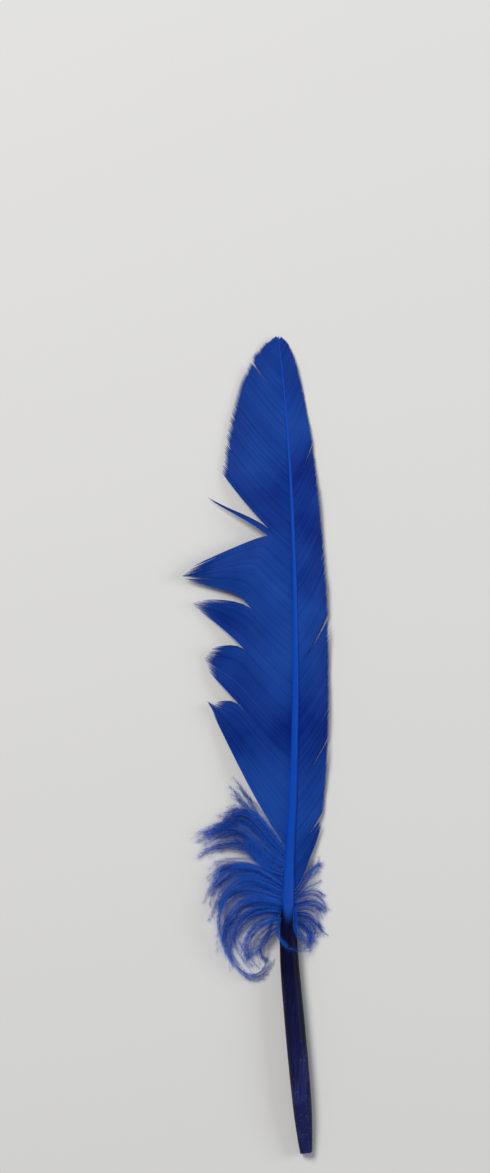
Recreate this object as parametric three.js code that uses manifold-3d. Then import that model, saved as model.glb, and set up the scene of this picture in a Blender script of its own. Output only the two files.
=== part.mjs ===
// A dyed goose quill feather, lying on its underside as it would on a table.
// Millimetres, +Z up. It runs along +Y from the cut end of the quill to the tip.
// The wide vane is on the -X side and the narrow vane on the +X side.
// It grew as one piece, so quill, shaft, vanes and down are one solid.

import * as THREE from "three";
import { mergeVertices } from "three/addons/utils/BufferGeometryUtils.js";
import Module from "manifold-3d";

// Driving dimensions. A station is the distance in mm along +Y from the cut end of the quill.
const featherLength = 150;
const outlineCentre = [-6, featherLength / 2]; // middle of the outline, which becomes the origin
const shaftSides = 14;
const shaftRings = 42;
const buttHoleRadius = 0.5;
const buttHoleDepth = 1.6;
const buttHoleTaper = 0.8; // width of the hole near its foot, as a share of its width
const ringCrowding = 1.15; // over 1, the shaft's rings are closer together in the quill

// Tables along the feather: [station, value]. Values between the rows are interpolated smoothly.
const shaftBend = [
  [0, 3.4], [12, 2.4], [24, 1.3], [37, 0.25], [50, 0.15], [66, 0.97],
  [84, 1.4], [97, 1.4], [110, 1.1], [124, 0.5], [138, -0.5], [150, -1.7],
]; // sideways place of the shaft's centre
const shaftHeight = [
  [0, 0.95], [8, 1.42], [16, 1.54], [30, 1.52], [38, 1.6], [50, 2.2],
  [72, 3.3], [94, 3.7], [114, 3.1], [132, 1.8], [150, 0.36],
]; // height of the shaft's centre
const shaftRadius = [
  [0, 1.1], [3, 1.38], [8, 1.7], [16, 1.85], [28, 1.82], [38, 1.66], [45, 1.38], [51, 1.05],
  [58, 0.82], [72, 0.68], [88, 0.58], [104, 0.46], [122, 0.37], [138, 0.32], [150, 0.28],
]; // half of the shaft's width
const shaftDepth = [
  [0, 0.95], [30, 0.95], [50, 1.15], [80, 1.3], [150, 1.25],
]; // depth of the shaft as a share of its width

// A vane's barbs are curves from the shaft to its edge. reach is how far sideways a barb ends,
// sweep is how much nearer the tip it ends than it began, and edge is the height of its end.
// Barbs cling together in groups, with a slit between one group and the next. lean is how far
// the ends of a group's lowest and highest barbs shift towards the tip. In a ruffled group tip
// is where the barbs end, as [sideways, station, height], and gather is how much of their own
// spread the ends keep. For its lowest and highest barbs, loose is the share of a barb at which
// it leaves its own line, and pointing the direction it ends in, in degrees from sideways.
const wideVane = {
  side: -1,
  columns: 7,
  reach: [
    [55.5, 15.2], [70, 15.2], [80, 14.8], [94, 13.8], [108, 12.8], [120, 10.8],
    [130, 8.1], [137, 5.6], [143, 3.6], [147, 2.0], [149.4, 0.5],
  ],
  sweep: [
    [55.5, 25.5], [66, 19.5], [80, 16.2], [94, 15.6], [108, 14.8], [120, 13.2],
    [130, 11], [137, 8.3], [143, 4.8], [147, 2.2], [149.4, 0.5],
  ],
  edge: [[55.5, 0.2], [100, 0.2], [120, 0.35], [135, 0.3], [149.4, 0.3]],
  groups: [
    { from: 137.2, to: 149.4, lean: [0.5, 0] },
    { from: 121.4, to: 137.2, lean: [0.1, -0.3] },
    { from: 110.3, to: 121.4, lean: [0, -0.15] },
    {
      from: 108.9, to: 110.3, tip: [15.4, 120.3, 0.4], gather: 0.2, loose: [0.3, 0.3],
      pointing: [36, 36],
    },
    {
      from: 92, to: 108.9, tip: [20.91, 105.9, 0.2], gather: 0.1, loose: [0.68, 0.2],
      pointing: [18, -24],
    },
    {
      from: 83.2, to: 92, tip: [18.9, 100.8, 0.2], gather: 0.22, loose: [0.62, 0.55],
      pointing: [25, 2],
    },
    {
      from: 71.4, to: 83.2, tip: [16.2, 90.2, 0.2], gather: 0.5, loose: [0.6, 0.62],
      pointing: [48, 6],
    },
    {
      from: 55.5, to: 71.4, tip: [16.2, 83, 0.2], gather: 0.1, loose: [0.4, 0.66],
      pointing: [63, 35],
    },
  ],
};
const narrowVane = {
  side: 1,
  columns: 4,
  reach: [
    [47, 5.0], [54, 5.8], [62, 6.2], [75, 6.3], [90, 6.1], [105, 5.5],
    [119, 4.7], [131, 3.8], [140, 2.8], [145.5, 1.7], [149, 0.5],
  ],
  sweep: [
    [47, 8], [54, 9.2], [62, 9.8], [75, 10], [90, 10], [105, 9.6],
    [119, 8.6], [131, 7], [140, 4.9], [145.5, 2.9], [149, 0.8],
  ],
  edge: [[47, 0.9], [60, 0.8], [90, 0.9], [120, 0.6], [149, 0.3]],
  groups: [
    { from: 121.5, to: 149, lean: [0.5, 0] },
    { from: 88.6, to: 121.5, lean: [0.35, -0.1] },
    { from: 66.5, to: 88.6, lean: [0.1, -0.5] },
    { from: 54, to: 66.5, lean: [-0.4, -0.2] },
    {
      from: 47, to: 54, tip: [5.6, 60.2, 0.7], gather: 0.45, loose: [0.4, 0.4],
      pointing: [62, 58],
    },
  ],
};
const barbBow = 0.36; // how far towards the tip a barb's middle lies, as a share of its sweep
const camber = 1.7; // how late along a barb the vane turns down to its edge
const slit = 0.14; // half of the gap at the shaft between two groups of barbs
const vaneStart = 0.008; // share of a barb by which the two vanes keep apart inside the shaft
const vaneThickness = 0.56;
const vaneThinning = 0.35; // how much thinner a vane is at its edge, as a share
const ribSpacing = 2.2;
const ribHeight = 0.12;
const notchDepth = 0.05; // share of a barb by which the vane's edge is notched between ribs

// Locks of down at the foot of the vanes. Each follows a guide, a smooth curve through points
// that are [sideways, station] in mm from the shaft's centre, and puffs up by lift.
const wideDown = [
  { lift: 1.6, guide: [[0, 54.3], [2.9, 57.6], [5.6, 61], [8, 62.6], [10.6, 62.4], [13.6, 59.2]] },
  { lift: 1.2, guide: [[0, 52.6], [3.6, 55.2], [6.8, 58.2], [9.6, 59.8], [13, 59.3], [17.4, 57.2]] },
  { lift: 1.8, guide: [[0, 51], [3.2, 52.4], [5.6, 54.6], [8.2, 56.6], [12.5, 56.6], [17.6, 54.6]] },
  { lift: 1.2, guide: [[0, 49.5], [3.2, 51.4], [6, 53], [9, 53.5], [12.4, 52.6], [14.8, 49.6]] },
  { lift: 1.9, guide: [[0, 48], [3.2, 49.8], [6.4, 51.2], [9.4, 51.2], [12.8, 49.2], [14.2, 45]] },
  { lift: 1.2, guide: [[0, 46.6], [3.4, 48.1], [6.4, 49], [9.2, 48.6], [12.2, 45.6], [13, 41]] },
  { lift: 1.8, guide: [[0, 45.2], [3.4, 46.3], [6.4, 46.4], [9, 45.2], [11.5, 41.5], [11.6, 36.2]] },
  { lift: 1.2, guide: [[0, 44], [3.2, 44.6], [5.8, 44], [8.1, 42.2], [9.9, 38.5], [9, 33.6]] },
  { lift: 1.6, guide: [[0, 42.8], [2.7, 42.8], [5, 41.7], [6.8, 39.5], [7.6, 36.2], [5.6, 32.6]] },
  { lift: 1.1, guide: [[0, 41.8], [2, 41.2], [3.8, 39.8], [4.9, 37.8], [4.8, 35.8], [3.4, 34.6]] },
];
const narrowDown = [
  { lift: 0.7, guide: [[0, 46.6], [1.9, 48.6], [3.4, 50.6], [4.9, 52.2], [6.6, 53.2]] },
  { lift: 1.1, guide: [[0, 45], [2.2, 46.2], [4.2, 46.5], [5.9, 45.7], [6.9, 44]] },
  { lift: 0.8, guide: [[0, 43.6], [2.2, 43.8], [4, 43.1], [5.2, 41.5], [5.4, 39.4]] },
  { lift: 0.6, guide: [[0, 42.4], [1.7, 42], [3.1, 40.8], [3.7, 39], [3.2, 37.2]] },
];
const lockSteps = 10;
const lockWidth = 2.7;
const lockTaper = [0.12, 0.92]; // the part of a half wave that its width follows, root to tip
const lockThickness = 0.9;
const lockThinning = 0.4; // how much thinner a lock is at its tip, as a share
const lockSinking = 1.5; // how early along a lock it sinks from the shaft to the surface
const lockTipHeight = 0.3;

const wasm = await Module();
wasm.setup();

// The value of a table at a station, on a smooth curve through its rows.
function at(table, station) {
  const last = table.length - 1;
  let row = 0;
  while (row < last - 1 && station > table[row + 1][0]) row += 1;
  const slope = (k) => {
    const before = table[Math.max(k - 1, 0)];
    const after = table[Math.min(k + 1, last)];
    return (after[1] - before[1]) / (after[0] - before[0]);
  };
  const [from, low] = table[row];
  const [to, high] = table[row + 1];
  const span = to - from;
  const t = THREE.MathUtils.clamp((station - from) / span, 0, 1);
  const rise = high - low;
  const [bend, bendAfter] = [slope(row) * span - rise, rise - slope(row + 1) * span];
  return low + rise * t + t * (1 - t) * (bend * (1 - t) + bendAfter * t);
}

// A smooth curve's value at share t, from a start to an end with the given slopes there.
function between(start, startSlope, end, endSlope, t) {
  const turn = startSlope * (1 - t) - endSlope * t + (end - start) * (2 * t - 1);
  return start + (end - start) * t + t * (1 - t) * turn;
}

// The point of a barb at share u of its way from the shaft (0) to the vane's edge (1).
function barbPoint(vane, group, root, u) {
  const reach = at(vane.reach, root);
  const sweep = at(vane.sweep, root);
  const across = (root - group.from) / (group.to - group.from);
  const own = (share) => root + sweep * (2 * barbBow * share * (1 - share) + share * share);
  let sideways = reach * u;
  let station = own(u);
  let end = at(vane.edge, root);
  const loose = group.tip ? THREE.MathUtils.lerp(...group.loose, across) : 1;
  if (u > loose) {
    const middle = (group.from + group.to) / 2;
    const free = (u - loose) / (1 - loose);
    const tipOut = group.tip[0] + group.gather * (reach - at(vane.reach, middle));
    const ahead = root + sweep - middle - at(vane.sweep, middle);
    const tipStation = group.tip[1] + group.gather * ahead;
    const length = Math.hypot(tipOut - reach * loose, tipStation - own(loose));
    const angle = THREE.MathUtils.degToRad(THREE.MathUtils.lerp(...group.pointing, across));
    const slope = sweep * (2 * barbBow * (1 - 2 * loose) + 2 * loose) * (1 - loose);
    sideways = between(reach * loose, reach * (1 - loose), tipOut, length * Math.cos(angle), free);
    station = between(own(loose), slope, tipStation, length * Math.sin(angle), free);
  }
  if (group.tip) end = group.tip[2];
  if (group.lean) station += THREE.MathUtils.lerp(...group.lean, across) * u * u;
  const top = at(shaftHeight, root);
  const height = top + (end - top) * u ** camber;
  return new THREE.Vector3(at(shaftBend, station) + vane.side * sideways, station, height);
}

// A closed geometry as a solid, each of its points moved by place and none left below the
// surface that the feather lies on.
function solidOf(geometry, place) {
  geometry.deleteAttribute("normal");
  geometry.deleteAttribute("uv");
  const merged = mergeVertices(geometry);
  const corners = merged.attributes.position;
  for (let i = 0; i < corners.count; i += 1) {
    const point = place(new THREE.Vector3().fromBufferAttribute(corners, i));
    corners.setXYZ(i, point.x, point.y, Math.max(0, point.z));
  }
  const faces = new Uint32Array(merged.index.array);
  const vertProperties = new Float32Array(corners.array);
  const closed = (triVerts) =>
    new wasm.Manifold(new wasm.Mesh({ numProp: 3, vertProperties, triVerts }));
  const solid = closed(faces);
  return solid.volume() > 0 ? solid : closed(faces.reverse());
}

// A box of cells whose corners go to place(u, v, w), each from 0 to 1.
function shapedBox(cells, place) {
  const box = new THREE.BoxGeometry(1, 1, 1, ...cells).translate(0.5, 0.5, 0.5);
  return solidOf(box, (p) => place(p.x, p.y, p.z));
}

// The quill and shaft: a turned profile from the small hole in its cut end to the tip, bent to
// lie along the feather.
function shaft() {
  const profile = [
    new THREE.Vector2(0, buttHoleDepth),
    new THREE.Vector2(buttHoleRadius * buttHoleTaper, buttHoleDepth * buttHoleTaper),
    new THREE.Vector2(buttHoleRadius, 0),
  ];
  for (let ring = 0; ring <= shaftRings; ring += 1) {
    const station = featherLength * (ring / shaftRings) ** ringCrowding;
    profile.push(new THREE.Vector2(at(shaftRadius, station), station));
  }
  profile.push(new THREE.Vector2(0, featherLength));
  return solidOf(new THREE.LatheGeometry(profile, shaftSides), (p) => {
    const height = at(shaftHeight, p.y) + p.z * at(shaftDepth, p.y);
    return new THREE.Vector3(at(shaftBend, p.y) + p.x, p.y, height);
  });
}

// One group of barbs: a thin curved sheet that starts inside the shaft, ribbed along its barbs
// and notched along its edge.
function barbGroup(vane, group) {
  const rows = 2 * Math.max(1, Math.round((group.to - group.from) / ribSpacing));
  return shapedBox([vane.columns, rows, 1], (u, v, w) => {
    const root = THREE.MathUtils.lerp(group.from + slit, group.to - slit, v);
    const valley = Math.round(v * rows) % 2;
    const along = vaneStart + (1 - vaneStart) * u * (1 - notchDepth * valley);
    const point = barbPoint(vane, group, root, along);
    point.z += (w - 0.5) * vaneThickness * (1 - vaneThinning * u) - valley * ribHeight;
    return point;
  });
}

// One lock of down: a leaf-shaped strip that leaves the shaft, puffs up and curls round until
// its narrow end lies on the surface.
function downLock(side, lock) {
  const points = lock.guide.map(([sideways, station]) => new THREE.Vector3(sideways, station, 0));
  const line = new THREE.CatmullRomCurve3(points, false, "catmullrom", 0.5);
  const root = lock.guide[0][1];
  return shapedBox([lockSteps, 1, 1], (u, v, w) => {
    const here = line.getPoint(u);
    const ahead = line.getTangent(u);
    const width = lockWidth * Math.sin(Math.PI * THREE.MathUtils.lerp(...lockTaper, u));
    const out = here.x - ahead.y * (v - 0.5) * width;
    const station = here.y + ahead.x * (v - 0.5) * width;
    const sinking = at(shaftHeight, root) * (1 - u) ** lockSinking + lockTipHeight * u;
    const height = sinking + lock.lift * Math.sin(Math.PI * u);
    const thickness = lockThickness * (1 - lockThinning * u);
    return new THREE.Vector3(at(shaftBend, root) + side * out, station, height + (w - 0.5) * thickness);
  });
}

function featherGeometry() {
  let solid = shaft();
  for (const vane of [wideVane, narrowVane])
    for (const group of vane.groups) solid = solid.add(barbGroup(vane, group));
  for (const lock of wideDown) solid = solid.add(downLock(wideVane.side, lock));
  for (const lock of narrowDown) solid = solid.add(downLock(narrowVane.side, lock));
  const mesh = solid.getMesh();
  const geometry = new THREE.BufferGeometry();
  geometry.setAttribute("position", new THREE.BufferAttribute(mesh.vertProperties, 3));
  geometry.setIndex(new THREE.BufferAttribute(mesh.triVerts, 1));
  geometry.computeVertexNormals();
  return geometry;
}

const dyedBlue = new THREE.MeshStandardMaterial({ color: "#153d90", roughness: 0.55, metalness: 0 });
const feather = new THREE.Mesh(featherGeometry(), dyedBlue);
feather.name = "feather";
feather.position.set(-outlineCentre[0], -outlineCentre[1], 0);

const group = new THREE.Group();
group.add(feather);

export default group;
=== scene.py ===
import math
import random

import bpy
import numpy as np
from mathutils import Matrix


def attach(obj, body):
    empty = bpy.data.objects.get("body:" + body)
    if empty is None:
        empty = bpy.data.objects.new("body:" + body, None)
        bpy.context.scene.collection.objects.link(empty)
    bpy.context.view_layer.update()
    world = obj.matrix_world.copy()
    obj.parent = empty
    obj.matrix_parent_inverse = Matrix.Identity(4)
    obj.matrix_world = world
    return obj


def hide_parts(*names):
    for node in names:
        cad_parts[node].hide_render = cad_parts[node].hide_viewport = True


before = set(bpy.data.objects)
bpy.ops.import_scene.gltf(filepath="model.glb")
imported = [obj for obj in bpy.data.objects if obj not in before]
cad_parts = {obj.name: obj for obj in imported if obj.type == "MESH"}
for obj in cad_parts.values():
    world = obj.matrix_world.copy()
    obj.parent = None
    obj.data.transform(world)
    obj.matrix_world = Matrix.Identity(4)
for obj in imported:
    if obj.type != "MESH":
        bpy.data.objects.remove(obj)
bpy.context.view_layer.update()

mm = 0.001
outlineCentre = (-6.0, 75.0)  # mm; the place in the feather's own plan that became the origin


# The feather's plan, in mm. A station is the distance along +Y from the cut end of the quill,
# and a table holds (station, value) rows with a smooth curve through them.
shaftPlan = {
    "length": 150,
    "bend": [(0, 3.4), (12, 2.4), (24, 1.3), (37, 0.25), (50, 0.15), (66, 0.97),
             (84, 1.4), (97, 1.4), (110, 1.1), (124, 0.5), (138, -0.5), (150, -1.7)],
    "height": [(0, 0.95), (8, 1.42), (16, 1.54), (30, 1.52), (38, 1.6), (50, 2.2),
               (72, 3.3), (94, 3.7), (114, 3.1), (132, 1.8), (150, 0.36)],
    "radius": [(0, 1.1), (3, 1.38), (8, 1.7), (16, 1.85), (28, 1.82), (38, 1.66), (45, 1.38),
               (51, 1.05), (58, 0.82), (72, 0.68), (88, 0.56), (104, 0.42), (122, 0.28),
               (138, 0.17), (150, 0.07)],
    "depth": [(0, 0.95), (30, 0.95), (50, 1.15), (80, 1.3), (150, 1.2)],  # as a share of width
    "sides": 28,
    "ringGap": 2.2,
    "buttHole": 0.5,  # share of the cut end's radius
    "buttHoleDepth": 1.6,
    "buttRim": 1.25,  # how much wider than the hole its mouth is
    "buttRimDepth": 0.25,
    "buttSlant": 0.3,
    "buttRagged": 0.12,
    "buttSeed": 5,
    "grooveFrom": 54,
    "grooveFade": 6,  # mm before and after grooveFrom over which the groove deepens
    "grooveWidth": 0.55,  # share of the shaft's width
    "grooveDepth": 0.42,  # share of the shaft's depth
}

widePlan = {
    "side": -1,
    "spacing": 0.42,
    "reach": [(55.5, 15.2), (70, 15.2), (80, 14.8), (94, 13.8), (108, 12.8), (120, 10.8),
              (130, 8.1), (137, 5.6), (143, 3.6), (147, 2.0), (149.4, 0.5)],
    "sweep": [(55.5, 25.5), (66, 19.5), (80, 16.2), (94, 15.6), (108, 14.8), (120, 13.2),
              (130, 11), (137, 8.3), (143, 4.8), (147, 2.2), (149.4, 0.5)],
    "edge": [(55.5, 0.2), (100, 0.2), (120, 0.35), (135, 0.3), (149.4, 0.3)],
    # lean moves the ends of a group's lowest and highest barbs along the feather, and roll lifts
    # the highest ones. A ruffled group ends round tip (sideways, station, height), and gather is
    # the share of their own spread that its barbs keep. For the lowest and highest barb, loose is
    # where it leaves its own line, pointing the direction it ends in, in degrees, and turning how
    # wide its bend is. teeth is how deep the ragged points near the tip are, as a share of a barb.
    "groups": [
        {"from": 137.2, "to": 149.4, "lean": (0.15, 0), "roll": 0.15, "jag": 3, "teeth": 0.2},
        {"from": 121.4, "to": 137.2, "lean": (0.1, -0.1), "roll": 0.35},
        {"from": 110.3, "to": 121.4, "lean": (0, -0.15), "roll": 0.3},
        {"from": 108.9, "to": 110.3, "tip": (15.4, 120.3, 0.9), "gather": 0.2, "loose": (0.3, 0.3),
         "pointing": (36, 36)},
        {"from": 92, "to": 108.9, "tip": (20.91, 105.9, 0.9), "gather": 0.07, "loose": (0.68, 0.34),
         "pointing": (18, -22), "turning": (1, 0.3), "roll": 1.1, "point": 0.06},
        {"from": 83.2, "to": 92, "tip": (18.9, 100.8, 0.5), "gather": 0.22, "loose": (0.62, 0.55),
         "pointing": (25, 2), "roll": 0.8, "point": 0.08},
        {"from": 71.4, "to": 83.2, "tip": (16.7, 90.9, 0.5), "gather": 0.36, "loose": (0.6, 0.62),
         "pointing": (50, 5), "roll": 0.9, "point": 0.06},
        {"from": 55.5, "to": 71.4, "tip": (16.2, 83, 0.5), "gather": 0.1, "loose": (0.4, 0.66),
         "pointing": (63, 35), "roll": 0.6, "point": 0.1},
    ],
    "seed": 11,
}
narrowPlan = {
    "side": 1,
    "spacing": 0.42,
    "reach": [(47, 5.0), (54, 5.8), (62, 6.2), (75, 6.3), (90, 6.1), (105, 5.5),
              (119, 4.7), (131, 3.8), (140, 2.8), (145.5, 1.7), (149, 0.5)],
    "sweep": [(47, 8), (54, 9.2), (62, 9.8), (75, 10), (90, 10), (105, 9.6),
              (119, 8.6), (131, 7), (140, 4.9), (145.5, 2.9), (149, 0.8)],
    "edge": [(47, 0.9), (60, 0.8), (90, 0.9), (120, 0.6), (149, 0.3)],
    "groups": [
        {"from": 121.5, "to": 149, "lean": (0.5, 0), "roll": 0.1},
        {"from": 88.6, "to": 121.5, "lean": (0.35, -0.1), "roll": 0.2},
        {"from": 66.5, "to": 88.6, "lean": (0.1, -0.5), "roll": 0.2},
        {"from": 54, "to": 66.5, "lean": (-0.4, -0.2), "roll": 0.2},
        {"from": 47, "to": 54, "tip": (5.6, 60.2, 0.9), "gather": 0.45, "loose": (0.4, 0.4),
         "pointing": (62, 58), "roll": 0.4, "point": 0.1},
    ],
    "seed": 23,
}
barbPlan = {
    "bow": 0.36,  # how far barbs bow towards the tip
    "camber": 1.7,  # how late barbs droop on their way to the edge
    "rings": 15,
    "rootRise": 0.2,  # share of the shaft's depth that barbs start above its centre
    "rootInside": 0.4,  # share of the shaft's radius that barbs start from its centre
    "overlap": 1.16,  # width as a share of the gap to the next barb
    "ridge": 0.045,  # mm, as are the next five
    "keel": 0.02,
    "edgeDrop": 0.012,
    "thinnest": 0.09,
    "lowest": 0.06,
    "underside": 0.01,
    "taperFrom": 0.91,
    "taperFromWhole": 0.965,  # where barbs taper from in a group that isn't ruffled
    "end": 0.1,  # share of its width that a barb keeps at its end
    "lengthChange": 0.02,
    "lengthSpread": 0.7,
    "pointMiddle": 0.9,  # where a pointed group is longest, with 1 at its middle
    "pointCurve": 1.6,
    "toothWidth": 0.95,
    "clusterSize": (4, 15),
    "clusterShift": 0.26,
    "clusterLift": 0.12,
    "wave": 0.22,
    "waveAlong": 0.35,  # radians to a mm of the shaft
    "waveOut": 2.2,  # radians from the shaft to the edge
}


# The value of a table at a station.
def at(table, station):
    last = len(table) - 1
    row = 0
    while row < last - 1 and station > table[row + 1][0]:
        row += 1

    def slope(k):
        before, after = table[max(k - 1, 0)], table[min(k + 1, last)]
        return (after[1] - before[1]) / (after[0] - before[0])

    (start, low), (end, high) = table[row], table[row + 1]
    span = end - start
    t = min(max((station - start) / span, 0), 1)
    rise = high - low
    bend, bendAfter = slope(row) * span - rise, rise - slope(row + 1) * span
    return low + rise * t + t * (1 - t) * (bend * (1 - t) + bendAfter * t)


# The shaft's centre at a station, as sideways and height, with its half width and half depth.
def shaftCentre(station):
    radius = at(shaftPlan["radius"], station)
    depth = radius * at(shaftPlan["depth"], station)
    height = max(at(shaftPlan["height"], station), depth)
    return at(shaftPlan["bend"], station), height, radius, depth


# A smooth curve's value at share t, from a start to an end with the given slopes there.
def between(start, startSlope, end, endSlope, t):
    turn = startSlope * (1 - t) - endSlope * t + (end - start) * (2 * t - 1)
    return start + (end - start) * t + t * (1 - t) * turn


# The point of a barb at a share of its way from the shaft (0) to the vane's edge (1).
def barbPoint(vane, group, root, share):
    reach, sweep, bow = at(vane["reach"], root), at(vane["sweep"], root), barbPlan["bow"]
    across = (root - group["from"]) / (group["to"] - group["from"])

    def own(part):
        return root + sweep * (2 * bow * part * (1 - part) + part * part)

    sideways, station = reach * share, own(share)
    end = at(vane["edge"], root)
    if "tip" in group:
        low, high = group["loose"]
        loose, gather = low + (high - low) * across, group["gather"]
        tipOut, tipStation, end = group["tip"]
        middle = (group["from"] + group["to"]) / 2
        free = (share - loose) / (1 - loose)
        tipOut += gather * (reach - at(vane["reach"], middle))
        tipStation += gather * (root + sweep - middle - at(vane["sweep"], middle))
        length = math.hypot(tipOut - reach * loose, tipStation - own(loose))
        low, high = group["pointing"]
        angle = math.radians(low + (high - low) * across)
        slope = sweep * (2 * bow * (1 - 2 * loose) + 2 * loose) * (1 - loose)
        low, high = group.get("turning", (1, 1))
        wide = low + (high - low) * across
        if free > 0:
            sideways = between(reach * loose, reach * (1 - loose) * wide, tipOut,
                               length * math.cos(angle), free)
            station = between(own(loose), slope * wide, tipStation, length * math.sin(angle), free)
    low, high = group.get("lean", (0, 0))
    station += (low + (high - low) * across) * share * share
    end += group.get("roll", 0) * across
    _, top, _, depth = shaftCentre(root)
    top += barbPlan["rootRise"] * depth
    height = top + (end - top) * share ** barbPlan["camber"]
    return at(shaftPlan["bend"], station) + vane["side"] * sideways, station, height


def toMetres(points):
    placed = np.array(points, dtype=float)
    placed[..., 0] -= outlineCentre[0]
    placed[..., 1] -= outlineCentre[1]
    return placed * mm


def unit(vectors):
    return vectors / np.maximum(np.linalg.norm(vectors, axis=-1, keepdims=True), 1e-12)


# One joined mesh from rows of rings: rings[tube, ring, corner] are points in metres. Each tube is
# closed, and its UV is how far along it a corner is, in mm, and how far round, from 0 to 1.
def tubesObject(name, rings, along, tint):
    pieces, steps, sides = rings.shape[:3]
    first = np.arange(pieces)[:, None, None] * steps * sides
    ring = np.arange(steps - 1)[None, :, None] * sides
    corner = np.arange(sides)[None, None, :]
    after = (corner + 1) % sides
    walls = np.stack([first + ring + corner, first + ring + after,
                      first + ring + sides + after, first + ring + sides + corner], axis=-1)
    walls = walls.reshape(-1, 4)
    starts = first[:, 0] + np.arange(sides)[None, ::-1]
    ends = first[:, 0] + (steps - 1) * sides + np.arange(sides)[None, :]
    faces = walls.tolist() + starts.tolist() + ends.tolist()
    mesh = bpy.data.meshes.new(name)
    mesh.from_pydata(rings.reshape(-1, 3).tolist(), [], faces)
    around = np.broadcast_to(np.arange(sides) / (sides - 1), (pieces, steps, sides)).reshape(-1)
    length = np.broadcast_to(along[:, :, None], (pieces, steps, sides)).reshape(-1)
    corners = np.empty(len(mesh.loops), dtype=np.int32)
    mesh.loops.foreach_get("vertex_index", corners)
    layer = mesh.uv_layers.new(name="barbMap")
    layer.data.foreach_set("uv", np.stack([length, around], axis=-1)[corners].reshape(-1))
    shade = mesh.attributes.new("tint", "FLOAT", "POINT")
    shade.data.foreach_set("value", np.repeat(tint, steps * sides).astype(np.float32))
    piece = bpy.data.objects.new(name, mesh)
    bpy.context.scene.collection.objects.link(piece)
    mesh.validate()
    return piece


def finishPiece(piece, material, smoothAngle=60):
    bpy.ops.object.select_all(action="DESELECT")
    piece.select_set(True)
    bpy.context.view_layer.objects.active = piece
    bpy.ops.object.shade_smooth_by_angle(angle=math.radians(smoothAngle))
    piece.data.materials.clear()
    piece.data.materials.append(material)
    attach(piece, "root")
    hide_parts("feather")
    print("made", piece.name, len(piece.data.polygons), "faces")


def faceOutwards(piece):
    bpy.ops.object.select_all(action="DESELECT")
    piece.select_set(True)
    bpy.context.view_layer.objects.active = piece
    bpy.ops.object.mode_set(mode="EDIT")
    bpy.ops.mesh.select_all(action="SELECT")
    bpy.ops.mesh.normals_make_consistent(inside=False)
    bpy.ops.object.mode_set(mode="OBJECT")


# Barbs cling in clusters, each a little off its own line, so fine slits open between them.
def clusterOffsets(count, rng):
    shift, lift = np.zeros(count), np.zeros(count)
    start = 0
    while start < count:
        size = rng.randint(*barbPlan["clusterSize"])
        end = min(start + size, count)
        shift[start:end] = rng.uniform(-1, 1) * barbPlan["clusterShift"]
        lift[start:end] = rng.uniform(-1, 1) * barbPlan["clusterLift"]
        start = end
    return shift, lift


def groupBarbs(vane, group, rng):
    plan, steps = barbPlan, barbPlan["rings"]
    span = group["to"] - group["from"]
    count = max(3, round(span / vane["spacing"]))
    shift, lift = clusterOffsets(count, rng)
    phase = rng.uniform(0, 6)
    centres = np.zeros((count, steps, 3))
    tint = np.array([rng.random() for _ in range(count)])
    for i in range(count):
        across = (i + 0.5) / count
        root = group["from"] + span * across
        offMiddle = abs(2 * across - plan["pointMiddle"])
        tooth = root / plan["toothWidth"] % 1 * across ** 3
        jag = plan["lengthChange"] * abs(rng.gauss(0, plan["lengthSpread"]))
        whole = 1 - group.get("jag", 1) * jag
        whole -= group.get("point", 0) * offMiddle ** plan["pointCurve"]
        whole -= group.get("teeth", 0) * tooth
        inner = plan["rootInside"] * at(shaftPlan["radius"], root) / at(vane["reach"], root)
        for k in range(steps):
            share = inner + (whole - inner) * k / (steps - 1)
            x, y, z = barbPoint(vane, group, root, share)
            turn = root * plan["waveAlong"] + share * plan["waveOut"] + phase
            y += shift[i] * share * share
            z += lift[i] * share * share + plan["wave"] * share * math.sin(turn)
            centres[i, k] = (x, y, max(z, plan["lowest"]))
    return centres, tint


# Four corners round each point of a barb: its two edges, its ridge and its keel.
def barbRings(centres, taperFrom):
    plan = barbPlan
    along = unit(np.gradient(centres, axis=1))
    towards = np.gradient(centres, axis=0)
    gap = np.linalg.norm(towards - along * (towards * along).sum(-1, keepdims=True), axis=-1)
    up = unit(np.cross(along, towards))
    up *= np.sign(up[..., 2:3])
    across = np.cross(up, along)
    share = np.linspace(0, 1, centres.shape[1])[None, :]
    taper = np.clip((1 - share) / (1 - taperFrom), plan["end"], 1) ** 0.8
    half = np.maximum(gap * plan["overlap"], plan["thinnest"]) / 2 * taper
    rise = plan["ridge"] * taper * (1 - 0.35 * share)
    sides = [across * half[..., None] - up * plan["edgeDrop"],
             up * rise[..., None],
             -across * half[..., None] - up * plan["edgeDrop"],
             -up * plan["keel"]]
    rings = np.stack([centres + side for side in sides], axis=2)
    rings[..., 2] = np.maximum(rings[..., 2], plan["underside"])
    return rings


def vanePiece(name, vane, material):
    rng = random.Random(vane["seed"])
    allRings, allTints = [], []
    for group in vane["groups"]:
        centres, tint = groupBarbs(vane, group, rng)
        rings = barbRings(centres, barbPlan["taperFrom" if "tip" in group else "taperFromWhole"])
        if vane["side"] > 0:
            rings = rings[:, :, ::-1]
        allRings.append(rings)
        allTints.append(tint)
    rings = np.concatenate(allRings)
    middle = rings.mean(axis=2)
    steps = np.linalg.norm(np.diff(middle, axis=1), axis=-1)
    along = np.concatenate([np.zeros((len(rings), 1)), np.cumsum(steps, axis=1)], axis=1)
    piece = tubesObject(name, toMetres(rings), along, np.concatenate(allTints))
    faceOutwards(piece)
    finishPiece(piece, material)
    return piece


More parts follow.
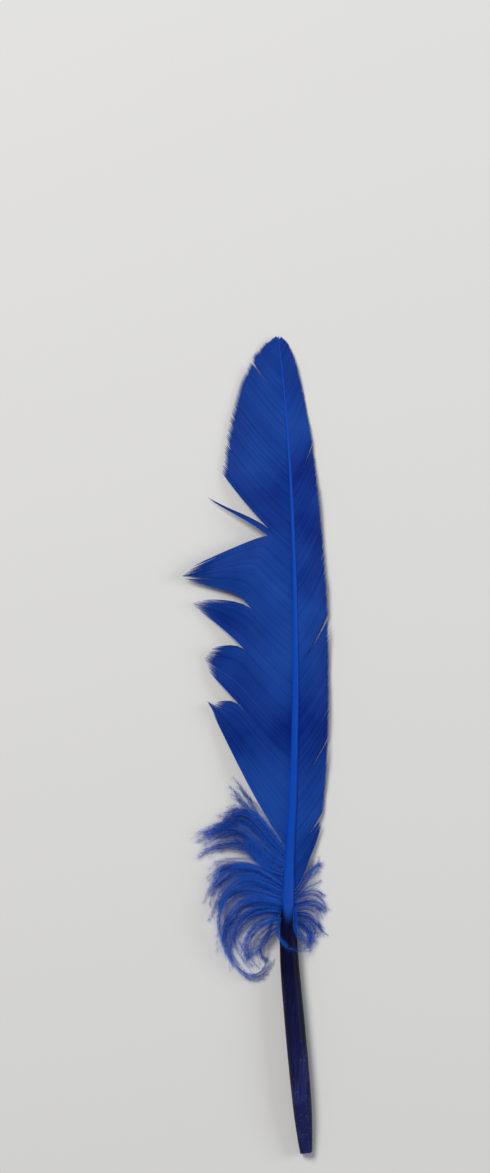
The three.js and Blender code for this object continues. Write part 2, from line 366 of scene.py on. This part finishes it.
# The quill and shaft: a ring at the cut end, extruded ring by ring towards the tip.
def moveRing(centre, before, after):
    step = [(b - a) * mm for a, b in zip(before[0], centre)]
    bpy.ops.mesh.extrude_region_move(TRANSFORM_OT_translate={"value": step})
    place = toMetres(np.array(centre)).tolist()
    bpy.ops.transform.resize(value=(after[0] / before[1], 1, after[1] / before[2]),
                             center_override=place)


def shaftStations():
    tip = shaftPlan["length"]
    stations = [0, 0.4, 1.1, 2.2]
    while stations[-1] < tip - shaftPlan["ringGap"]:
        stations.append(stations[-1] + shaftPlan["ringGap"])
    return stations + [tip]


def ringAt(station):
    x, z, radius, depth = shaftCentre(station)
    return (x, station, z), radius, depth


def makeShaft():
    bpy.ops.object.select_all(action="DESELECT")
    centre, radius, depth = ringAt(0)
    bpy.ops.mesh.primitive_circle_add(vertices=shaftPlan["sides"], radius=radius * mm,
                                      location=toMetres(np.array(centre)).tolist(),
                                      rotation=(math.pi / 2, 0, 0))
    shaft = bpy.context.object
    shaft.name = "quill_and_shaft"
    bpy.ops.object.transform_apply(location=True, rotation=True, scale=True)
    bpy.ops.object.mode_set(mode="EDIT")
    bpy.ops.mesh.select_all(action="SELECT")
    place = toMetres(np.array(centre)).tolist()
    bpy.ops.transform.resize(value=(1, 1, depth / radius), center_override=place)
    before = (centre, radius, depth)
    for station in shaftStations()[1:]:
        centre, radius, depth = ringAt(station)
        moveRing(centre, before, (radius, depth))
        before = (centre, radius, depth)
    bpy.ops.mesh.merge(type="CENTER")
    sinkButtHole(shaft)
    bpy.ops.mesh.select_all(action="SELECT")
    bpy.ops.mesh.normals_make_consistent(inside=False)
    bpy.ops.object.mode_set(mode="OBJECT")
    cutGroove(shaft)
    slantButt(shaft)
    return shaft


def sinkButtHole(shaft):
    bpy.ops.mesh.select_mode(type="VERT")
    bpy.ops.mesh.select_all(action="DESELECT")
    bpy.ops.object.mode_set(mode="OBJECT")
    buttY = -outlineCentre[1] * mm
    for corner in shaft.data.vertices:
        corner.select = corner.co.y < buttY + 0.01 * mm
    bpy.ops.object.mode_set(mode="EDIT")
    (x, y, z), radius, depth = ringAt(0)
    rim = shaftPlan["buttRim"]
    mouth = shaftPlan["buttHole"] * rim
    place = toMetres(np.array((x, y, z))).tolist()
    bpy.ops.mesh.extrude_region_move(TRANSFORM_OT_translate={"value": (0, 0, 0)})
    bpy.ops.transform.resize(value=(mouth, 1, mouth), center_override=place)
    for shrink, deeper in ((1 / rim, shaftPlan["buttRimDepth"]), (0.85, shaftPlan["buttHoleDepth"])):
        step = (0, deeper * mm, 0)
        bpy.ops.mesh.extrude_region_move(TRANSFORM_OT_translate={"value": step})
        bpy.ops.transform.resize(value=(shrink, 1, shrink), center_override=place)
    bpy.ops.mesh.merge(type="CENTER")


# A shallow groove runs along the underside of the shaft, from the foot of the vanes to the tip.
def cutGroove(shaft):
    plan = shaftPlan
    begin = plan["grooveFrom"] - plan["grooveFade"]
    for corner in shaft.data.vertices:
        station = corner.co.y / mm + outlineCentre[1]
        if station < begin:
            continue
        x, z, radius, depth = shaftCentre(station)
        side = (corner.co.x / mm + outlineCentre[0] - x) / radius
        below = (z - corner.co.z / mm) / depth
        start = min(1, (station - begin) / (2 * plan["grooveFade"]))
        if below > 0.5 and abs(side) < plan["grooveWidth"]:
            lift = math.cos(side / plan["grooveWidth"] * math.pi / 2) * plan["grooveDepth"] * depth
            corner.co.z += lift * start * mm


# The cut end's first two rings are a little slanted and ragged, as snipped.
def slantButt(shaft):
    rng = random.Random(shaftPlan["buttSeed"])
    centre, radius, _ = ringAt(0)
    for corner in shaft.data.vertices:
        station = corner.co.y / mm + outlineCentre[1]
        side = (corner.co.x / mm + outlineCentre[0] - centre[0]) / radius
        if station < 0.6:
            ragged = rng.uniform(0, shaftPlan["buttRagged"])
            corner.co.y += (shaftPlan["buttSlant"] * (side + 1) / 2 + ragged) * mm


# The shaft's UV is how far across it a corner is, and its station as a share of the length.
def mapShaft(shaft):
    mesh = shaft.data
    layer = mesh.uv_layers[0] if mesh.uv_layers else mesh.uv_layers.new()
    layer.name = "shaftMap"
    for loop in mesh.loops:
        spot = mesh.vertices[loop.vertex_index].co
        station = spot.y / mm + outlineCentre[1]
        x, _, radius, _ = shaftCentre(station)
        side = (spot.x / mm + outlineCentre[0] - x) / radius
        layer.data[loop.index].uv = (0.5 + side / 2, station / shaftPlan["length"])


# Down: locks of fine curled strands with fluff along both sides. A lock's guide holds points
# (sideways, station) in mm from the shaft's centre, lift is how far it puffs up, and width is
# how far its outer strands lie apart. fill is how many strands lie between each lock and the
# next, and gap is how many there are below a lock that stands apart. A loop fills nothing.
upperDownPlan = {
    "side": -1,
    "locks": [
        {"guide": [(0, 55), (2.9, 58.3), (5.5, 61.4), (6.9, 63.6), (8.6, 65.8), (11, 68.2)],
         "lift": 1.0, "width": 2.6, "strands": 10, "gap": 6},
        {"guide": [(0, 54.3), (2.9, 57.6), (5.6, 61), (8, 62.6), (10.6, 62.4), (13.6, 59.2)],
         "lift": 1.7, "width": 1.6, "strands": 24},
        {"guide": [(0, 52.6), (3.6, 55.2), (6.8, 58.2), (9.6, 59.8), (13, 59.3), (17.4, 57.2)],
         "lift": 1.2, "width": 3.0, "strands": 26},
        {"guide": [(0, 51), (3.2, 52.4), (5.6, 54.6), (8.2, 56.6), (12.5, 56.6), (17.6, 54.6)],
         "lift": 1.9, "width": 1.8, "strands": 24},
    ],
    "fill": 20,
    "seed": 31,
}
lowerDownPlan = {
    "side": -1,
    "locks": [
        {"guide": [(0, 49.5), (3.2, 51.4), (6, 53), (9, 53.5), (12.4, 52.6), (14.8, 49.6)],
         "lift": 1.2, "width": 1.6, "strands": 20},
        {"guide": [(0, 48), (3.2, 49.8), (6.4, 51.2), (9.4, 51.2), (12.8, 49.2), (14.2, 45)],
         "lift": 1.9, "width": 2.8, "strands": 24},
        {"guide": [(0, 46.6), (3.4, 48.1), (6.4, 49), (9.2, 48.6), (12.2, 45.6), (13, 41)],
         "lift": 1.2, "width": 2.8, "strands": 22},
        {"guide": [(0, 45.2), (3.4, 46.3), (6.4, 46.4), (9, 45.2), (11.5, 41.5), (11.6, 36.2)],
         "lift": 1.8, "width": 2.6, "strands": 20},
        {"guide": [(0, 44), (3.2, 44.6), (5.8, 44), (8.1, 42.2), (9.9, 38.5), (9, 33.6)],
         "lift": 1.2, "width": 2.4, "strands": 16, "gap": 5},
        {"guide": [(0, 42.8), (2.7, 42.8), (5, 41.7), (6.8, 39.5), (7.6, 36.2), (5.6, 32.6)],
         "lift": 1.6, "width": 2.0, "strands": 12, "gap": 3},
        {"guide": [(0, 41.8), (2, 41.2), (3.8, 39.8), (4.9, 37.8), (4.8, 35.8), (3.4, 34.6)],
         "lift": 1.1, "width": 1.4, "strands": 8},
    ],
    "loops": [
        {"guide": [(0, 45.8), (5, 49.4), (10.6, 48.6), (12.9, 43), (11.4, 37), (7.8, 32.6),
                   (4.4, 33.6), (3.3, 38.4)],
         "lift": 1.5, "width": 1.6, "strands": 9},
        {"guide": [(0, 45.6), (1.8, 44.8), (2.8, 41.4), (3.9, 38.8), (6.2, 36.8), (9, 35.9)],
         "lift": 1.3, "width": 0.9, "strands": 7},
    ],
    "fill": 16,
    "seed": 33,
}
narrowDownPlan = {
    "side": 1,
    "locks": [
        {"guide": [(0, 46.6), (1.9, 48.6), (3.4, 50.6), (4.9, 52.2), (6.4, 53.2)],
         "lift": 0.7, "width": 1.4, "strands": 14},
        {"guide": [(0, 45), (2.2, 46.2), (4.2, 46.5), (5.9, 45.7), (6.7, 44)],
         "lift": 1.1, "width": 1.6, "strands": 14},
        {"guide": [(0, 43.6), (2.2, 43.8), (4, 43.1), (5.2, 41.5), (5.4, 39.4)],
         "lift": 0.9, "width": 1.6, "strands": 14},
        {"guide": [(0, 42.4), (1.7, 42), (3.1, 40.8), (3.7, 39), (3.2, 37.2)],
         "lift": 0.6, "width": 1.2, "strands": 10},
    ],
    "loops": [
        {"guide": [(-1.5, 42.6), (-1.6, 40.6), (-0.3, 38.8), (1.6, 38), (3.8, 37.6), (5.4, 38.2)],
         "lift": 2.5, "puff": (0.95, 1.1), "width": 0.8, "strands": 6},
        {"guide": [(1.3, 46), (1, 43.4), (1.2, 41), (2.4, 39.2), (4.2, 38.6), (6.2, 39.2)],
         "lift": 2.2, "puff": (0.9, 1.1), "width": 1.1, "strands": 8},
    ],
    "fill": 9,
    "seed": 37,
}
strandPlan = {
    "rings": 20,
    "thick": 0.045,
    "tuft": (2, 4),  # strands that cling together
    "shortest": 0.78,  # share of the guide that the shortest strand follows
    "puff": (0.45, 1.35),  # least and most share of a lock's lift
    "stray": 0.25,
    "wave": 0.2,
    "waveTurn": 11,  # radians from root to tip
    "curl": 1.4,
    "curlFrom": 0.66,
    "lowest": 0.08,
    "fluffGap": 0.115,
    "fluffLength": 1.3,
    "fluffThick": 0.026,
    "fluffLean": (12, 50),  # degrees off the strand
    "fluffRoll": 0.5,
    "fluffLowest": 0.02,
}


# Points at the given shares of a smooth curve through a guide.
def alongGuide(guide, shares):
    rows = np.array(guide, dtype=float)
    rows = np.vstack([2 * rows[0] - rows[1], rows, 2 * rows[-1] - rows[-2]])
    place = shares * (len(guide) - 1)
    k = np.minimum(place.astype(int), len(guide) - 2)
    t = (place - k)[:, None]
    before, here, after, beyond = rows[k], rows[k + 1], rows[k + 2], rows[k + 3]
    square = 2 * before - 5 * here + 4 * after - beyond
    cube = 3 * here - before - 3 * after + beyond
    return 0.5 * (2 * here + (after - before) * t + square * t ** 2 + cube * t ** 3)


# The strands of a lock run side by side, cling in small tufts, and part and curl towards their
# ends.
def lockLines(side, lock, count, rng):
    plan = strandPlan
    share = np.linspace(0, 1, plan["rings"])
    lines = []
    tuft = 0
    for _ in range(count):
        if tuft == 0:
            tuft = rng.randint(*plan["tuft"])
            aside, puff = rng.uniform(-1, 1), rng.uniform(*lock.get("puff", plan["puff"]))
            wave, phase = rng.uniform(0.3, 1) * plan["wave"], rng.uniform(0, 6)
            curl = rng.gauss(0, 0.6) * plan["curl"]
        tuft -= 1
        flat = alongGuide(lock["guide"], share * rng.uniform(plan["shortest"], 1))
        ahead = unit(np.gradient(flat, axis=0))
        off = aside * lock["width"] / 2 * np.sin(np.pi * (0.12 + 0.8 * share))
        off += rng.gauss(0, plan["stray"]) * (0.35 + 1.3 * share ** 1.5)
        off += wave * share * np.sin(share * plan["waveTurn"] + phase + rng.gauss(0, 0.4))
        off += (curl + rng.gauss(0, 0.3)) * np.maximum(share - plan["curlFrom"], 0) ** 2 * 6
        flat = flat + np.stack([-ahead[:, 1], ahead[:, 0]], axis=1) * off[:, None]
        bend, top, _, _ = shaftCentre(lock["guide"][0][1])
        height = top * (1 - share) ** 1.5 + 0.12 + 0.25 * share
        height += (puff + rng.gauss(0, 0.12)) * lock["lift"] * np.sin(np.pi * share ** 0.8)
        height += 0.15 * share * np.sin(share * 9 + phase)
        height = np.maximum(height, plan["lowest"])
        lines.append(np.stack([bend + side * flat[:, 0], flat[:, 1], height], axis=1))
    return lines


# A lock between two neighbours, at a share of the way from one to the other.
def lockBetween(upper, lower, share):
    mixed = {key: upper[key] + (lower[key] - upper[key]) * share for key in ("lift", "width")}
    mixed["guide"] = np.array(upper["guide"]) * (1 - share) + np.array(lower["guide"]) * share
    mixed["width"] *= 0.5
    return mixed


def downLines(plan, rng):
    lines = []
    for lock in plan["locks"] + plan.get("loops", []):
        lines += lockLines(plan["side"], lock, lock["strands"], rng)
    for upper, lower in zip(plan["locks"], plan["locks"][1:]):
        left = upper.get("gap", plan["fill"])
        while left > 0:
            count = min(left, rng.randint(*strandPlan["tuft"]))
            lock = lockBetween(upper, lower, rng.uniform(0.15, 0.85))
            lines += lockLines(plan["side"], lock, count, rng)
            left -= count
    return np.array(lines)


# Three corners round each point of a strand, and its directions there.
def strandRings(lines, thick):
    along = unit(np.gradient(lines, axis=1))
    across = unit(np.cross(along, np.array([0, 0, 1.0])))
    up = np.cross(across, along)
    share = np.linspace(0, 1, lines.shape[1])[None, :, None]
    radius = thick * (1 - 0.7 * share)
    corners = []
    for k in range(3):
        turn = 2 * math.pi * k / 3
        corners.append(lines + radius * (across * math.cos(turn) + up * math.sin(turn)))
    return np.stack(corners, axis=2), along, across, up


# Fluff: one small spike, a closed point of four faces, copied along both sides of every strand.
def fluffSpikes(lines, along, across, up, chance):
    plan = strandPlan
    steps = lines.shape[1] - 1
    total = np.linalg.norm(np.diff(lines, axis=1), axis=-1).sum(axis=1)
    strand = np.repeat(np.arange(len(lines)), (total / plan["fluffGap"]).astype(int))
    count = len(strand)
    share = 0.06 + 0.94 * chance.random(count)
    place = np.minimum(share * steps, steps - 1e-6)
    k = place.astype(int)
    t = (place - k)[:, None]
    base = lines[strand, k] * (1 - t) + lines[strand, k + 1] * t
    ahead, aside, above = along[strand, k], across[strand, k], up[strand, k]
    side = np.where(chance.random(count) < 0.5, -1.0, 1.0)[:, None]
    roll = chance.normal(0, plan["fluffRoll"], count)[:, None]
    lean = np.radians(chance.uniform(*plan["fluffLean"], count))[:, None]
    outward = side * aside * np.cos(roll) + above * np.sin(roll)
    reach = plan["fluffLength"] * chance.uniform(0.4, 1.3, count) * (1 - 0.4 * share)
    tip = base + reach[:, None] * (ahead * np.cos(lean) + outward * np.sin(lean))
    half = plan["fluffThick"] / 2
    flat = unit(np.cross(ahead + outward, above)) * half
    spikes = np.stack([base + flat, base - flat, base + above * half * 1.6, tip], axis=1)
    spikes[..., 2] = np.maximum(spikes[..., 2], plan["fluffLowest"])
    return spikes


def fluffObject(name, spikes, chance):
    walls = [(0, 1, 3), (1, 2, 3), (2, 0, 3), (0, 2, 1)]
    faces = [tuple(4 * i + corner for corner in wall) for i in range(len(spikes)) for wall in walls]
    mesh = bpy.data.meshes.new(name)
    mesh.from_pydata(toMetres(spikes.reshape(-1, 3)).tolist(), [], faces)
    mesh.uv_layers.new(name="barbMap")
    shade = mesh.attributes.new("tint", "FLOAT", "POINT")
    shade.data.foreach_set("value", np.repeat(chance.random(len(spikes)), 4).astype(np.float32))
    fluff = bpy.data.objects.new(name, mesh)
    bpy.context.scene.collection.objects.link(fluff)
    return fluff


def joinPieces(first, *others):
    bpy.ops.object.select_all(action="DESELECT")
    for piece in (first, *others):
        piece.select_set(True)
    bpy.context.view_layer.objects.active = first
    bpy.ops.object.join()
    return first


def downPiece(name, plan, material):
    rng = random.Random(plan["seed"])
    lines = downLines(plan, rng)
    rings, along, across, up = strandRings(lines, strandPlan["thick"])
    steps = np.linalg.norm(np.diff(lines, axis=1), axis=-1)
    length = np.concatenate([np.zeros((len(lines), 1)), np.cumsum(steps, axis=1)], axis=1)
    tint = np.array([rng.random() for _ in lines])
    piece = tubesObject(name, toMetres(rings), length, tint)
    chance = np.random.default_rng(plan["seed"])
    spikes = fluffSpikes(lines, along, across, up, chance)
    piece = joinPieces(piece, fluffObject(name + "_fluff", spikes, chance))
    faceOutwards(piece)
    finishPiece(piece, material, 80)
    return piece


# Materials. An input is a number, a colour or another node's socket, which is linked.
def addNode(tree, kind, inputs=(), **settings):
    made = tree.nodes.new(kind)
    for key, value in settings.items():
        setattr(made, key, value)
    for key, value in dict(inputs).items():
        if isinstance(value, bpy.types.NodeSocket):
            tree.links.new(value, made.inputs[key])
        else:
            made.inputs[key].default_value = value
    return made


def calculate(tree, operation, *values, clamp=False):
    made = addNode(tree, "ShaderNodeMath", enumerate(values), operation=operation, use_clamp=clamp)
    return made.outputs["Value"]


def ramp(tree, source, start, end, low=0.0, high=1.0, kind="LINEAR"):
    made = addNode(tree, "ShaderNodeMapRange", {"Value": source, "From Min": start, "From Max": end,
                   "To Min": low, "To Max": high}, interpolation_type=kind)
    return made.outputs["Result"]


def blend(tree, factor, first, second, kind="MIX"):
    made = addNode(tree, "ShaderNodeMix", {"Factor": factor, "A": first, "B": second},
                   data_type="RGBA", blend_type=kind)
    return made.outputs["Result"]


def noise(tree, place, scale, detail=2.0):
    return addNode(tree, "ShaderNodeTexNoise", {"Vector": place, "Scale": scale, "Detail": detail})


def newMaterial(name, fixed):
    material = bpy.data.materials.new(name)
    material.use_nodes = True
    shader = material.node_tree.nodes["Principled BSDF"]
    for key, value in fixed.items():
        shader.inputs[key].default_value = value
    return material, material.node_tree, shader


def newGroup(name, inputs, outputs):
    group = bpy.data.node_groups.new(name, "ShaderNodeTree")
    for key, (kind, value) in inputs.items():
        socket = group.interface.new_socket(key, in_out="INPUT", socket_type=kind)
        socket.default_value = value
    for key, kind in outputs.items():
        group.interface.new_socket(key, in_out="OUTPUT", socket_type=kind)
    return group, group.nodes.new("NodeGroupInput").outputs, group.nodes.new("NodeGroupOutput").inputs


# How far along its barb a place is, in mm, and how far off the ridge, a third of the way round.
def barbPlace(tree):
    uv = addNode(tree, "ShaderNodeUVMap", uv_map="barbMap")
    split = addNode(tree, "ShaderNodeSeparateXYZ", {"Vector": uv.outputs["UV"]})
    aside = calculate(tree, "SUBTRACT", split.outputs["Y"], 1 / 3)
    return split.outputs["X"], calculate(tree, "ABSOLUTE", aside)


# Dye takes unevenly: broad pale and dark patches, each barb a little different, and the ridge
# of each barb paler than its sides.
def unevenDye():
    inputs = {"Deep": ("NodeSocketColor", (0.01, 0.04, 0.26, 1)),
              "Pale": ("NodeSocketColor", (0.02, 0.08, 0.38, 1)),
              "Patch Size": ("NodeSocketFloat", 60.0),
              "Barb Change": ("NodeSocketFloat", 0.35),
              "Ridge Change": ("NodeSocketFloat", 0.0)}
    tree, given, result = newGroup("uneven dye", inputs, {"Color": "NodeSocketColor"})
    where = addNode(tree, "ShaderNodeTexCoord").outputs["Object"]
    patches = noise(tree, where, given["Patch Size"], 3.0).outputs["Fac"]
    barb = addNode(tree, "ShaderNodeAttribute", attribute_name="tint").outputs["Fac"]
    change = calculate(tree, "MULTIPLY_ADD", barb, given["Barb Change"],
                       ramp(tree, patches, 0.36, 0.7, -0.1, 0.9))
    _, offRidge = barbPlace(tree)
    ridge = ramp(tree, offRidge, 0.0, 0.16, 1.0, -0.35)
    shown = ramp(tree, noise(tree, where, 110.0).outputs["Fac"], 0.4, 0.65)
    strength = calculate(tree, "MULTIPLY", shown, given["Ridge Change"])
    total = calculate(tree, "MULTIPLY_ADD", ridge, strength, change, clamp=True)
    tree.links.new(blend(tree, total, given["Deep"], given["Pale"]), result["Color"])
    return tree


# Barbules: fine lines that slant away from the ridge of each barb on both of its sides.
def barbuleLines():
    inputs = {"Spacing": ("NodeSocketFloat", 0.1), "Slant": ("NodeSocketFloat", 0.6)}
    tree, given, result = newGroup("barbule lines", inputs, {"Height": "NodeSocketFloat"})
    along, offRidge = barbPlace(tree)
    slanted = calculate(tree, "SUBTRACT", along, calculate(tree, "MULTIPLY", offRidge, given["Slant"]))
    turns = calculate(tree, "DIVIDE", slanted, given["Spacing"])
    tree.links.new(calculate(tree, "PINGPONG", turns, 0.5), result["Height"])
    return tree


vaneLook = {
    "dye": {"Deep": (0.0015, 0.019, 0.2, 1), "Pale": (0.012, 0.072, 0.38, 1),
            "Patch Size": 48.0, "Barb Change": 0.3, "Ridge Change": 0.5},
    "barbules": {"Spacing": 0.1, "Slant": 0.6},  # mm, and mm along for a whole turn round
    "barbuleDepth": 0.00002,  # metres
    "roughness": (0.42, 0.6),  # between the barbules and on them
    "surface": {"Specular IOR Level": 0.05, "Sheen Weight": 0.06, "Sheen Roughness": 0.4,
                "Sheen Tint": (0.1, 0.4, 1.0, 1)},
}
downLook = {
    "dye": {"Deep": (0.004, 0.05, 0.4, 1), "Pale": (0.02, 0.13, 0.66, 1),
            "Patch Size": 140.0, "Barb Change": 0.6},
    "surface": {"Roughness": 0.6, "Specular IOR Level": 0.05, "Sheen Weight": 0.3,
                "Sheen Roughness": 0.5, "Sheen Tint": (0.15, 0.4, 1.0, 1)},
}


def vaneMaterial(dye, barbules):
    look = vaneLook
    material, tree, shader = newMaterial("dyed vane", look["surface"])
    colour = addNode(tree, "ShaderNodeGroup", look["dye"], node_tree=dye)
    tree.links.new(colour.outputs["Color"], shader.inputs["Base Color"])
    lines = addNode(tree, "ShaderNodeGroup", look["barbules"], node_tree=barbules).outputs["Height"]
    tree.links.new(ramp(tree, lines, 0.0, 1.0, *look["roughness"]), shader.inputs["Roughness"])
    bump = addNode(tree, "ShaderNodeBump", {"Height": lines, "Strength": 0.3,
                   "Distance": look["barbuleDepth"]})
    tree.links.new(bump.outputs["Normal"], shader.inputs["Normal"])
    return material


def downMaterial(dye):
    material, tree, shader = newMaterial("dyed down", downLook["surface"])
    colour = addNode(tree, "ShaderNodeGroup", downLook["dye"], node_tree=dye)
    tree.links.new(colour.outputs["Color"], shader.inputs["Base Color"])
    return material


# The shaft is bright blue down to a rounded tongue. The bare quill below it is navy, nearly black
# at the top, with painted shade on its round sides, and it is scuffed and flecked towards the cut end.
shaftLook = {
    "tongueEnd": 41.8,  # station of the tongue's point
    "tongueSoft": 3.4,
    "tongueCurve": 14.0,
    "tongue": (0.008, 0.07, 0.44, 1),
    "bright": (0.002, 0.068, 0.5, 1),
    "brightening": (45, 62),  # stations
    "quillTop": (0.0025, 0.0028, 0.026, 1),
    "quillLow": (0.015, 0.019, 0.1, 1),
    "wearing": (34, 2),  # stations where the wear begins and is worst
    "quillSideShade": 0.3,  # painted shade: the share of its colour that the quill keeps at its sides
    "scuff": (0.035, 0.045, 0.2, 1),
    "scuffSize": (2600.0, 190.0, 2600.0),  # larger is finer, across, along and up
    "fleck": (0.07, 0.1, 0.36, 1),
    "fleckSize": 2800.0,  # larger is finer
    "fleckWarp": 0.0003,
    "fleckShare": 0.8,  # of the cells, where the flecks are densest
    "coat": (0.04, 0.06),  # on the quill and on the shaft
    "surface": {"Roughness": 0.42, "Specular IOR Level": 0.07, "Coat Roughness": 0.3},
}


# Scuffs are long thin scratches, and flecks are small pale specks. Both grow towards the cut end.
def quillWear():
    look = shaftLook
    tree, given, result = newGroup("quill wear", {"Low": ("NodeSocketFloat", 0.0)},
                                   {"Scuffs": "NodeSocketFloat", "Flecks": "NodeSocketFloat"})
    where = addNode(tree, "ShaderNodeTexCoord").outputs["Object"]
    stretched = addNode(tree, "ShaderNodeMapping", {"Vector": where, "Scale": look["scuffSize"]})
    scratches = noise(tree, stretched.outputs["Vector"], 1.0, 3.0).outputs["Fac"]
    patches = noise(tree, where, 160.0).outputs["Fac"]
    scuffs = ramp(tree, calculate(tree, "MULTIPLY", scratches, patches), 0.27, 0.42)
    tree.links.new(calculate(tree, "MULTIPLY", scuffs, given["Low"]), result["Scuffs"])
    warp = noise(tree, where, 3600.0).outputs["Color"]
    moved = addNode(tree, "ShaderNodeVectorMath", {0: warp, 1: (look["fleckWarp"],) * 3, 2: where},
                    operation="MULTIPLY_ADD")
    cells = addNode(tree, "ShaderNodeTexVoronoi", {"Vector": moved.outputs["Vector"],
                    "Scale": look["fleckSize"], "Randomness": 1.0})
    dots = ramp(tree, cells.outputs["Distance"], 0.4, 0.1)
    chosen = addNode(tree, "ShaderNodeSeparateXYZ", {"Vector": cells.outputs["Color"]})
    steep = calculate(tree, "POWER", given["Low"], 4.0)
    dense = calculate(tree, "MULTIPLY", steep, ramp(tree, patches, 0.35, 0.65))
    most = calculate(tree, "MULTIPLY_ADD", dense, -look["fleckShare"], 0.998)
    few = calculate(tree, "GREATER_THAN", chosen.outputs["X"], most)
    tree.links.new(calculate(tree, "MULTIPLY", dots, few), result["Flecks"])
    return tree


def shaftMaterial():
    look, length = shaftLook, shaftPlan["length"]
    material, tree, shader = newMaterial("dyed shaft", look["surface"])
    uv = addNode(tree, "ShaderNodeUVMap", uv_map="shaftMap")
    split = addNode(tree, "ShaderNodeSeparateXYZ", {"Vector": uv.outputs["UV"]})
    along = split.outputs["Y"]
    side = calculate(tree, "SUBTRACT", split.outputs["X"], 0.5)
    square = calculate(tree, "MULTIPLY", side, side)

    def stations(start, end):
        return ramp(tree, along, start / length, end / length)

    low = stations(*look["wearing"])
    # Painted shade: the quill's colour darkens towards its round sides.
    sides = ramp(tree, square, 0.06, 0.22)
    shade = blend(tree, sides, (1, 1, 1, 1), (look["quillSideShade"],) * 3 + (1,))
    quill = blend(tree, 1.0, blend(tree, low, look["quillTop"], look["quillLow"]), shade, "MULTIPLY")
    wear = addNode(tree, "ShaderNodeGroup", node_tree=quillWear())
    tree.links.new(low, wear.inputs["Low"])
    quill = blend(tree, wear.outputs["Scuffs"], quill, look["scuff"])
    quill = blend(tree, wear.outputs["Flecks"], quill, look["fleck"])
    shaft = blend(tree, stations(*look["brightening"]), look["tongue"], look["bright"])
    shape = calculate(tree, "MULTIPLY_ADD", square, -look["tongueCurve"] / length, along)
    tongue = ramp(tree, shape, look["tongueEnd"] / length,
                  (look["tongueEnd"] + look["tongueSoft"]) / length, kind="SMOOTHSTEP")
    tree.links.new(blend(tree, tongue, quill, shaft), shader.inputs["Base Color"])
    tree.links.new(ramp(tree, tongue, 0.0, 1.0, *look["coat"]), shader.inputs["Coat Weight"])
    return material


# Floor, light and camera.
studio = {
    "floorSize": 3.0,
    "floorHeight": -0.00002,
    "floorColor": (0.78, 0.78, 0.77, 1),
    "lens": 100,
    "sensor": 36,
    "frameHeight": 0.2152,  # metres that the long side of the picture spans on the floor
    "aim": (-0.0018, 0.0289),
    "world": (0.95, 0.97, 1.0, 1),
    "worldStrength": 0.2,
    "lights": [
        # place, size, power, warmth
        ((-0.45, 0.55, 0.85), 0.5, 9.0, (1.0, 0.98, 0.96)),
        ((0.75, 0.15, 0.35), 0.4, 2.6, (0.95, 0.97, 1.0)),
    ],
}


def makeFloor():
    bpy.ops.object.select_all(action="DESELECT")
    bpy.ops.mesh.primitive_plane_add(size=studio["floorSize"], location=(0, 0, studio["floorHeight"]))
    floor = bpy.context.object
    floor.name = "floor"
    bpy.ops.object.transform_apply(location=True, rotation=True, scale=True)
    material, _, _ = newMaterial("pale floor", {"Base Color": studio["floorColor"], "Roughness": 0.9,
                                                "Specular IOR Level": 0.1})
    floor.data.materials.append(material)


def makeLights():
    for i, (place, size, power, colour) in enumerate(studio["lights"]):
        lamp = bpy.data.lights.new("softLight%d" % i, "AREA")
        lamp.shape, lamp.size, lamp.energy, lamp.color = "DISK", size, power, colour
        holder = bpy.data.objects.new(lamp.name, lamp)
        holder.location = place
        holder.rotation_euler = (-holder.location).to_track_quat("-Z", "Y").to_euler()
        holder.visible_camera = False
        bpy.context.scene.collection.objects.link(holder)
    world = bpy.data.worlds.new("studio")
    world.use_nodes = True
    world.node_tree.nodes["Background"].inputs["Color"].default_value = studio["world"]
    world.node_tree.nodes["Background"].inputs["Strength"].default_value = studio["worldStrength"]
    bpy.context.scene.world = world
    bpy.context.scene.view_settings.view_transform = "Standard"


def makeCamera():
    lens = bpy.data.cameras.new("camera")
    lens.lens, lens.sensor_width = studio["lens"], studio["sensor"]
    camera = bpy.data.objects.new("camera", lens)
    distance = studio["frameHeight"] * studio["lens"] / studio["sensor"]
    camera.location = (*studio["aim"], distance)
    bpy.context.scene.collection.objects.link(camera)
    bpy.context.scene.camera = camera


makeCamera()
makeFloor()
makeLights()
print("stage ready")
dye, barbules = unevenDye(), barbuleLines()
vaneFinish, downFinish = vaneMaterial(dye, barbules), downMaterial(dye)
shaft = makeShaft()
mapShaft(shaft)
finishPiece(shaft, shaftMaterial())
vanePiece("wide_vane", widePlan, vaneFinish)
vanePiece("narrow_vane", narrowPlan, vaneFinish)
downPiece("upper_down", upperDownPlan, downFinish)
downPiece("lower_down", lowerDownPlan, downFinish)
downPiece("narrow_down", narrowDownPlan, downFinish)
